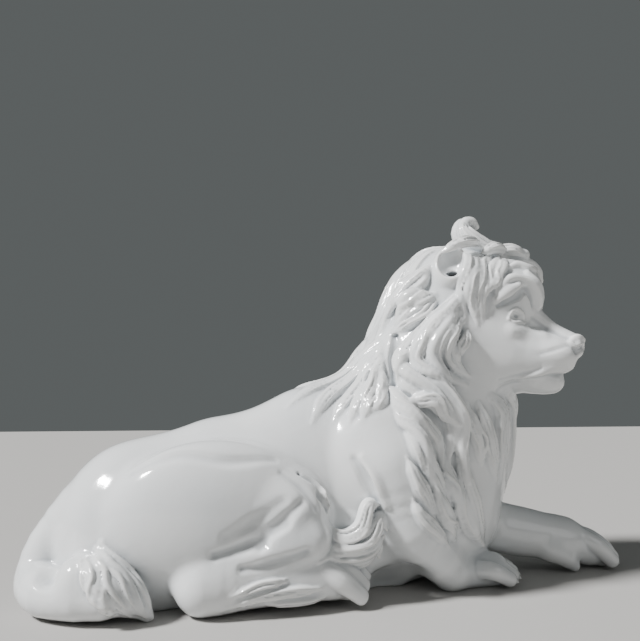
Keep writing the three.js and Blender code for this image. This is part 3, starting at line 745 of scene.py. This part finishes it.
# Locks of hair on the right side, in the order that they lie over each other. Each is repeated on the left.
locks = {
    "capA": {
        "path": (
            (170, -46, 553), (134, -37, 538), (91, -48, 496),
            (65, -39, 456), (48, -38, 420), (36, -38, 391),
        ),
        "width": 30, "strands": 5, "rise": 6,
    },
    "capB": {
        "path": ((132, -81, 522), (107, -71, 496), (85, -56, 472), (63, -46, 442), (48, -42, 413)),
        "width": 24, "strands": 4, "rise": 6,
    },
    "capC": {
        "path": ((126, -83, 505), (102, -75, 481), (79, -66, 458), (61, -56, 435)),
        "width": 22, "strands": 4, "rise": 6,
    },
    "capD": {
        "path": ((122, -82, 486), (104, -74, 467), (83, -68, 450), (64, -62, 430)),
        "width": 22, "strands": 4, "rise": 6,
    },
    "capE": {
        "path": ((196, -10, 558), (140, 0, 550), (92, 0, 506), (60, 0, 450), (40, 0, 396)),
        "width": 34, "strands": 5, "rise": 4,
    },
    "witherA": {
        "path": ((39, -45, 385), (1, -20, 350), (-54, -22, 311), (-103, -44, 275)),
        "width": 28, "strands": 5, "rise": 6,
    },
    "witherB": {
        "path": ((38, -58, 376), (2, -45, 335), (-41, -48, 297), (-70, -72, 254)),
        "width": 28, "strands": 5, "rise": 7,
    },
    "witherC": {
        "path": ((39, -65, 368), (10, -65, 327), (-23, -72, 293), (-39, -80, 260)),
        "width": 26, "strands": 4, "rise": 7,
    },
    "witherD": {
        "path": ((39, -72, 361), (16, -82, 323), (-9, -92, 286), (-18, -95, 254)),
        "width": 26, "strands": 4, "rise": 7,
    },
    "witherE": {
        "path": ((39, -79, 354), (25, -96, 316), (9, -104, 286), (-1, -106, 258)),
        "width": 26, "strands": 4, "rise": 7,
    },
    "witherF": {
        "path": ((41, -95, 329), (34, -106, 306), (27, -109, 286), (15, -109, 272)),
        "width": 20, "strands": 4, "rise": 7,
    },
    "collarB": {
        "path": ((120, -99, 445), (101, -97, 426), (78, -87, 413), (57, -68, 398)),
        "width": 26, "strands": 3, "rise": 9,
    },
    "collarA": {
        "path": ((117, -95, 458), (95, -87, 447), (76, -74, 431), (58, -62, 408)),
        "width": 34, "strands": 5, "rise": 13,
    },
    "fallD": {
        "path": ((93, -134, 196), (109, -127, 164), (134, -105, 124), (153, -96, 91)),
        "width": 36, "strands": 5, "rise": 12,
    },
    "fallG": {
        "path": ((101, -129, 158), (118, -115, 127), (131, -106, 100), (143, -99, 80)),
        "width": 32, "strands": 4, "rise": 12,
    },
    "fallC": {
        "path": ((62, -136, 148), (76, -135, 122), (100, -127, 100), (130, -110, 72)),
        "width": 24, "strands": 4, "rise": 8, "shape": (0.1, 0.75, 1, 0.8, 0.15),
    },
    "fallB": {
        "path": ((54, -137, 206), (67, -138, 176), (85, -132, 146), (100, -126, 116)),
        "width": 26, "strands": 4, "rise": 8, "shape": (0.1, 0.75, 1, 0.8, 0.15),
    },
    "fallA": {
        "path": ((60, -126, 256), (68, -136, 230), (82, -141, 200), (94, -136, 166)),
        "width": 26, "strands": 4, "rise": 9, "shape": (0.1, 0.75, 1, 0.8, 0.15),
    },
    "fallF": {
        "path": ((153, -117, 199), (157, -113, 167), (171, -107, 134), (184, -93, 99), (203, -72, 65)),
        "width": 32, "strands": 4, "rise": 12,
    },
    "fallE": {
        "path": ((124, -121, 206), (129, -117, 174), (148, -108, 138), (165, -99, 101), (203, -70, 61)),
        "width": 36, "strands": 5, "rise": 13,
    },
    "chestD": {
        "path": ((250, -20, 318), (284, -14, 280), (292, -12, 235), (282, -12, 185), (268, -12, 140)),
        "width": 42, "strands": 5, "rise": 8,
    },
    "chestE": {
        "path": ((236, -58, 318), (270, -50, 275), (276, -46, 230), (268, -44, 185), (258, -44, 140)),
        "width": 36, "strands": 4, "rise": 8,
    },
    "chestC": {
        "path": ((211, -90, 293), (236, -88, 270), (236, -90, 237), (234, -86, 203), (236, -74, 161)),
        "width": 36, "strands": 5, "rise": 8,
    },
    "chestB": {
        "path": ((188, -106, 280), (196, -103, 253), (204, -101, 223), (214, -98, 193), (224, -90, 163)),
        "width": 28, "strands": 4, "rise": 8,
    },
    "chestA": {
        "path": ((167, -117, 277), (176, -114, 247), (187, -105, 217), (189, -101, 190)),
        "width": 26, "strands": 4, "rise": 8,
    },
    "sweepF": {
        "path": ((49, -112, 277), (61, -124, 258), (80, -134, 233), (97, -134, 205), (108, -128, 170)),
        "width": 30, "strands": 5, "rise": 9,
    },
    "sweepD": {
        "path": (
            (49, -102, 309), (55, -114, 286), (70, -126, 264),
            (97, -127, 248), (118, -124, 226), (114, -125, 194),
        ),
        "width": 30, "strands": 5, "rise": 10,
    },
    "sweepB": {
        "path": (
            (60, -85, 340), (62, -105, 316), (89, -116, 299), (122, -119, 280),
            (140, -118, 254), (138, -119, 219), (127, -119, 190),
        ),
        "width": 30, "strands": 5, "rise": 10,
    },
    "sweepA": {
        "path": (
            (70, -97, 366), (65, -101, 342), (81, -112, 319), (116, -118, 296),
            (140, -118, 270), (150, -118, 238), (147, -117, 202),
        ),
        "width": 30, "strands": 5, "rise": 10,
    },
    "sweepC": {
        "path": (
            (86, -108, 352), (103, -116, 325), (133, -119, 299), (155, -118, 270),
            (161, -117, 238), (158, -116, 199), (161, -113, 167),
        ),
        "width": 28, "strands": 4, "rise": 10,
    },
    "sweepE": {
        "path": ((73, -120, 286), (97, -122, 288), (126, -121, 275), (142, -119, 251)),
        "width": 26, "strands": 4, "rise": 10,
    },
    "crestA": {
        "path": ((154, -110, 449), (117, -106, 410), (79, -100, 372), (60, -94, 348), (51, -101, 321)),
        "width": 32, "strands": 5, "rise": 10,
    },
    "crestB": {
        "path": (
            (154, -112, 442), (122, -112, 406), (96, -106, 375),
            (88, -110, 347), (104, -116, 321), (133, -119, 299),
        ),
        "width": 30, "strands": 5, "rise": 11,
    },
    "crestC": {
        "path": (
            (157, -115, 424), (134, -118, 399), (116, -116, 372),
            (115, -117, 347), (133, -117, 326), (165, -110, 310),
        ),
        "width": 30, "strands": 5, "rise": 11,
    },
    "crestD": {
        "path": (
            (160, -116, 412), (146, -120, 391), (135, -119, 372),
            (137, -119, 352), (150, -119, 336), (170, -114, 325),
        ),
        "width": 26, "strands": 4, "rise": 12,
    },
    "crestE": {
        "path": ((166, -114, 393), (162, -114, 378), (149, -118, 362), (150, -120, 348)),
        "width": 20, "strands": 3, "rise": 10,
    },
    "templeA": {
        "path": ((200, -90, 530), (181, -104, 512), (170, -110, 488), (164, -114, 456), (167, -114, 415)),
        "width": 22, "strands": 4, "rise": 8,
    },
    "templeB": {
        "path": ((212, -88, 526), (185, -108, 498), (177, -116, 468), (179, -119, 437), (186, -118, 405)),
        "width": 22, "strands": 4, "rise": 8,
    },
    "templeC": {
        "path": ((231, -80, 533), (201, -108, 497), (192, -117, 467), (194, -120, 437), (193, -120, 412)),
        "width": 22, "strands": 4, "rise": 8,
    },
    "templeD": {
        "path": ((243, -84, 527), (215, -113, 492), (205, -119, 467), (203, -121, 445)),
        "width": 19, "strands": 3, "rise": 8,
    },
    "templeE": {
        "path": ((251, -89, 519), (233, -112, 496), (219, -121, 476), (210, -122, 457)),
        "width": 19, "strands": 3, "rise": 8,
    },
}
napeLocks = {
    "napeA": {
        "path": ((160, 20, 556), (112, 24, 520), (76, 26, 468), (50, 26, 410), (36, 24, 384)),
        "width": 40, "strands": 5, "rise": 5,
    },
    "napeB": {
        "path": ((156, 52, 540), (120, 56, 500), (88, 58, 455), (64, 56, 410), (48, 50, 380)),
        "width": 38, "strands": 5, "rise": 6,
    },
    "napeC": {
        "path": ((46, 12, 386), (6, 14, 352), (-50, 14, 312), (-98, 26, 276)),
        "width": 30, "strands": 4, "rise": 5,
    },
}
bellyFacing = (0, -1, 0.2)
looseLocks = {
    "bellyD": {
        "path": ((-90, -104, 72), (-44, -107, 68), (-4, -107, 62), (17, -106, 78), (22, -105, 62)),
        "width": 26, "strands": 4, "rise": 10, "facing": bellyFacing,
    },
    "bellyC": {
        "path": ((-84, -114, 78), (-40, -120, 72), (2, -119, 74), (26, -117, 94)),
        "width": 24, "strands": 3, "rise": 10, "facing": bellyFacing,
    },
    "bellyB": {
        "path": ((-74, -114, 92), (-32, -120, 82), (4, -121, 92), (19, -120, 120), (30, -118, 102)),
        "width": 24, "strands": 3, "rise": 10, "facing": bellyFacing,
    },
    "bellyA": {
        "path": ((-66, -112, 108), (-36, -119, 94), (-10, -122, 106), (2, -123, 138), (16, -121, 138)),
        "width": 26, "strands": 4, "rise": 10, "facing": bellyFacing,
    },
}
fringeLocks = {
    "fringeA": {
        "path": ((-70, -134, 36), (-115, -139, 34), (-160, -142, 28), (-204, -140, 12)),
        "width": 17, "strands": 3, "rise": 4,
    },
    "fringeB": {
        "path": ((-64, -132, 20), (-105, -138, 15), (-150, -140, 9)),
        "width": 14, "strands": 2, "rise": 4,
    },
    "fringeC": {
        "path": ((-120, -140, 48), (-155, -143, 44), (-195, -142, 32)),
        "width": 13, "strands": 2, "rise": 4,
    },
}
tuftLocks = {
    "tuftD": {
        "path": ((-360, -98, 98), (-330, -118, 62), (-306, -124, 28), (-286, -121, 4)),
        "width": 24, "strands": 3, "rise": 8,
    },
    "tuftC": {
        "path": ((-368, -102, 90), (-342, -122, 66), (-320, -130, 40), (-300, -125, 8)),
        "width": 26, "strands": 3, "rise": 8,
    },
    "tuftB": {
        "path": ((-378, -104, 76), (-352, -126, 58), (-334, -133, 38), (-318, -128, 8)),
        "width": 26, "strands": 3, "rise": 8,
    },
    "tuftA": {
        "path": ((-384, -104, 62), (-362, -126, 54), (-350, -134, 36), (-338, -132, 12)),
        "width": 26, "strands": 3, "rise": 8,
    },
}
tuftBody = {"path": ((-385, -98, 52), (-335, -110, 34), (-298, -114, 6)), "radii": (32, 24, 8)}
crownLocks = {
    "curl": {
        "path": (
            (254, -32, 544), (224, -31, 560), (209, -29, 580),
            (212, -28, 597), (225, -28, 601), (233, -28, 592),
        ),
        "radii": (22, 18, 13, 10, 8, 6),
    },
    "curlFar": {
        "path": (
            (250, -14, 546), (222, -13, 560), (207, -12, 580),
            (210, -13, 598), (223, -14, 602), (231, -15, 594),
        ),
        "radii": (22, 18, 13, 10, 8, 6),
    },
    "saddle": {"path": ((236, -24, 548), (262, -28, 547), (286, -30, 547)), "radii": (15, 13, 11)},
    "forelock": {"path": ((268, -30, 544), (296, -33, 548), (320, -33, 544)), "radii": (10, 12, 11)},
    "brim": {
        "path": ((300, -32, 528), (330, -31, 529), (348, -28, 517), (355, -25, 500)),
        "radii": (8, 10, 9, 6),
    },
    "farForelock": {"path": ((230, 14, 532), (268, 10, 535), (306, -2, 526)), "radii": (14, 14, 8)},
}
crownStrands = {
    "curl": {
        "path": ((252, -46, 546), (223, -44, 561), (207, -38, 580), (211, -35, 596)),
        "width": 28, "strands": 3, "rise": 5, "facing": (0, -1, 0.1),
    },
    "forelock": {
        "path": ((262, -38, 547), (292, -42, 548), (322, -40, 544)),
        "width": 22, "strands": 3, "rise": 6, "facing": (0, -1, 0.4),
    },
    "earTop": {
        "path": ((222, -54, 551), (194, -80, 547), (164, -92, 538), (138, -86, 523)),
        "width": 20, "strands": 3, "rise": 7, "facing": (-0.2, -0.8, 0.6),
    },
    "parting": {
        "path": ((270, -52, 541), (242, -74, 540), (212, -86, 529)),
        "width": 22, "strands": 3, "rise": 8, "facing": (0, -0.7, 0.7),
    },
}


def pressEars():
    for side in (-1, 1):
        for name, form in ears.items():
            pressMass(form, form["fillet"], inHead=True, side=side, carve=name != "cup")


def layHair():
    pressLimb(tuftBody, fillets["foot"])
    seed = 0
    for lock in (looseLocks | tuftLocks | napeLocks).values():
        layLock(lock, same, seed)
        seed += seedStep
    for lock in fringeLocks.values():
        for place in (same, flip):
            layLock(lock, place, seed)
            seed += seedStep
    for name, lock in locks.items():
        if name == "templeA":
            pressEars()
        for place in (same, otherSide):
            layLock(lock, place, seed)
            seed += seedStep
    for form in crownLocks.values():
        pressLimb(form, fillets["toe"])
    for lock in crownStrands.values():
        layLock(lock, same, seed)
        seed += seedStep


layHair()
print("hair laid")


def soften(values, passes):
    for step in range(passes):
        for axis in range(3):
            ahead, behind = np.roll(values, -1, axis), np.roll(values, 1, axis)
            values = values * 0.5 + (ahead + behind) * 0.25
    return values


def skin():  # the clay's skin, cut off flat by the floor
    share = clay["softShare"]
    field[...] = field * (1 - share) + soften(field, clay["softening"]) * share
    heights = gridLow[2] + np.arange(gridShape[2], dtype=np.float32) * cell
    np.maximum(field, -heights[None, None, :], out=field)
    grid = openvdb.FloatGrid()
    grid.background = farAway
    grid.copyFromArray(field)
    points, quads = grid.convertToQuads(0)
    whole = np.arange(len(points))
    while True:  # what isn't joined to the lion is dropped
        least = whole[quads].min(1)
        joined = whole.copy()
        np.minimum.at(joined, quads.ravel(), np.repeat(least, 4))
        joined = joined[joined]
        if (joined == whole).all():
            break
        whole = joined
    names, counts = np.unique(whole, return_counts=True)
    quads = quads[whole[quads[:, 0]] == names[counts.argmax()]]
    used, quads = np.unique(quads, return_inverse=True)
    return gridLow + points[used] * cell, quads.reshape(-1, 4)


points, quads = skin()
print("skin", len(points), "points", len(quads), "quads")


def lionMesh(points, quads):
    mesh = bpy.data.meshes.new("lion")
    mesh.from_pydata(points.tolist(), [], quads.tolist())
    piece = bpy.data.objects.new("glazedLion", mesh)
    bpy.context.scene.collection.objects.link(piece)
    thinning = piece.modifiers.new("thinning", "DECIMATE")
    thinning.ratio = min(1, clay["triangles"] / (2 * len(quads)))
    thinned = bpy.data.meshes.new_from_object(piece.evaluated_get(bpy.context.evaluated_depsgraph_get()))
    piece.modifiers.clear()
    piece.data = thinned
    bpy.data.meshes.remove(mesh)
    return piece


lion = lionMesh(points, quads)
mesh = lion.data
places = np.empty(len(mesh.vertices) * 3, np.float32)
mesh.vertices.foreach_get("co", places)
places = places.reshape(-1, 3)
outward = unit(slopeAt(places))
cavity = sample(soften(field, clay["hollowPasses"]), places)
middle = (places.min(0) + places.max(0)) / 2
shift = np.array((-middle[0], -middle[1], 0), np.float32)
mesh.vertices.foreach_set("co", ((places + shift) * millimetre).ravel())
mesh.shade_smooth()
mesh.attributes.new("cavity", "FLOAT", "POINT").data.foreach_set("value", cavity.astype(np.float32))
mesh.update()
mesh.normals_split_custom_set_from_vertices(outward.tolist())
print("lion", len(mesh.polygons), "faces")

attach(lion, "root")
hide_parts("lion")


glaze = {
    "thick": (0.72, 0.74, 0.75, 1),  # where the glaze has run together
    "open": (0.8, 0.81, 0.81, 1),
    "thin": (0.83, 0.825, 0.805, 1),  # over edges
    "poolAndShade": (0.36, 0.39, 0.42, 1),  # painted shade at the bottom of grooves, with a little of the grey-blue of pooled glaze
    "drift": (7, 3),  # scale and detail of the change from thick to open
    "driftRange": (0.35, 0.65),
    "edgeRange": (0.2, 1.8),  # how far a point stands out, in millimetres
    "edgeShare": 0.8,
    "poolAndShadeRange": (0.15, 1.9),  # how far a point lies back, in millimetres, where the painted shade in grooves starts and is full
    "smears": (40, 4),
    "smearRange": (0.4, 0.7),
    "roughness": (0.1, 0.08),  # least, and what smears add
    "ripples": ((28, 2, 0.7), (160, 2, 0.12)),  # scale, detail and share of each
    "bump": {"Strength": 0.08, "Distance": 0.01},
    "coat": {"Coat Weight": 0.4, "Coat Roughness": 0.05},
}


def glazeMaterial():
    material = bpy.data.materials.new("whiteGlaze")
    material.use_nodes = True
    tree = material.node_tree
    shader = tree.nodes["Principled BSDF"]
    start = Wire(tree)
    place = start.node("ShaderNodeTexCoord", out=3)
    hollow = start.node("ShaderNodeAttribute", settings={"attribute_name": "cavity"}, out=2)

    def noise(scale, detail):
        return start.node("ShaderNodeTexNoise", {"Vector": place, "Scale": scale, "Detail": detail})

    def blend(share, a, b):
        return start.node("ShaderNodeMix", {0: share, 6: a, 7: b}, {"data_type": "RGBA"}, 2)

    def ramp(value, low, high):
        return start.node("ShaderNodeMapRange", {"Value": value, "From Min": low, "From Max": high})

    colour = blend(ramp(noise(*glaze["drift"]), *glaze["driftRange"]), glaze["open"], glaze["thick"])
    colour = blend(ramp(hollow, *glaze["edgeRange"]) * glaze["edgeShare"], colour, glaze["thin"])
    # Hollows are darkened towards grey-blue by how far they lie back. This is painted shade, and only partly
    # glaze pooling.
    colour = blend(ramp(hollow * -1, *glaze["poolAndShadeRange"]), colour, glaze["poolAndShade"])
    least, added = glaze["roughness"]
    rough = least + ramp(noise(*glaze["smears"]), *glaze["smearRange"]) * added
    broad, fine = [noise(scale, detail) * share for scale, detail, share in glaze["ripples"]]
    bump = start.node("ShaderNodeBump", {"Height": broad + fine, **glaze["bump"]})
    for name, wire in {"Base Color": colour, "Roughness": rough, "Normal": bump}.items():
        tree.links.new(wire.socket, shader.inputs[name])
    for name, value in glaze["coat"].items():
        shader.inputs[name].default_value = value
    return material


mesh.materials.append(glazeMaterial())

# Stage
stage = {"reach": 6, "colour": (0.42, 0.41, 0.395, 1), "roughness": 0.8, "air": (0.11, 0.12, 0.12, 1)}
floorMesh = bpy.data.meshes.new("floor")
reach = stage["reach"]
corners = [(-reach, -reach, 0), (reach, -reach, 0), (reach, reach, 0), (-reach, reach, 0)]
floorMesh.from_pydata(corners, [], [(0, 1, 2, 3)])
floor = bpy.data.objects.new("floor", floorMesh)
bpy.context.scene.collection.objects.link(floor)
paper = bpy.data.materials.new("paleFloor")
paper.use_nodes = True
paperShader = paper.node_tree.nodes["Principled BSDF"]
paperShader.inputs["Base Color"].default_value = stage["colour"]
paperShader.inputs["Roughness"].default_value = stage["roughness"]
floorMesh.materials.append(paper)

world = bpy.data.worlds.new("studio")
bpy.context.scene.world = world
world.use_nodes = True
world.node_tree.nodes["Background"].inputs[0].default_value = stage["air"]

lamps = {
    "key": {"kind": "SUN", "from": (-1, -0.18, 0.95), "size": 0.16, "power": 7.5},
    "fill": {"kind": "AREA", "from": (1.5, -1.8, 1.1), "size": 1.4, "power": 5},
}
for name, lamp in lamps.items():
    light = bpy.data.lights.new(name, lamp["kind"])
    light.energy = lamp["power"]
    if lamp["kind"] == "SUN":
        light.angle = lamp["size"]
    else:
        light.shape = "DISK"
        light.size = lamp["size"]
    holder = bpy.data.objects.new(name, light)
    holder.location = lamp["from"]
    holder.rotation_euler = (-Vector(lamp["from"])).to_track_quat("-Z", "Y").to_euler()
    bpy.context.scene.collection.objects.link(holder)

# Camera, at the photograph's place: millimetres from the lion's own frame, degrees
view = {"at": (-250, -975, 280), "yaw": 12, "pitch": 8.02, "focal": 600, "width": 640, "sensor": 36}
camera = bpy.data.cameras.new("camera")
camera.sensor_fit = "HORIZONTAL"
camera.sensor_width = view["sensor"]
camera.lens = camera.sensor_width * view["focal"] / view["width"]
holder = bpy.data.objects.new("camera", camera)
yaw, pitch = math.radians(view["yaw"]), math.radians(view["pitch"])
ahead = Vector((math.sin(yaw) * math.cos(pitch), math.cos(yaw) * math.cos(pitch), math.sin(pitch)))
holder.location = Vector(((np.array(view["at"]) + shift) * millimetre).tolist())
holder.rotation_euler = ahead.to_track_quat("-Z", "Y").to_euler()
bpy.context.scene.collection.objects.link(holder)
bpy.context.scene.camera = holder

print("stage set")
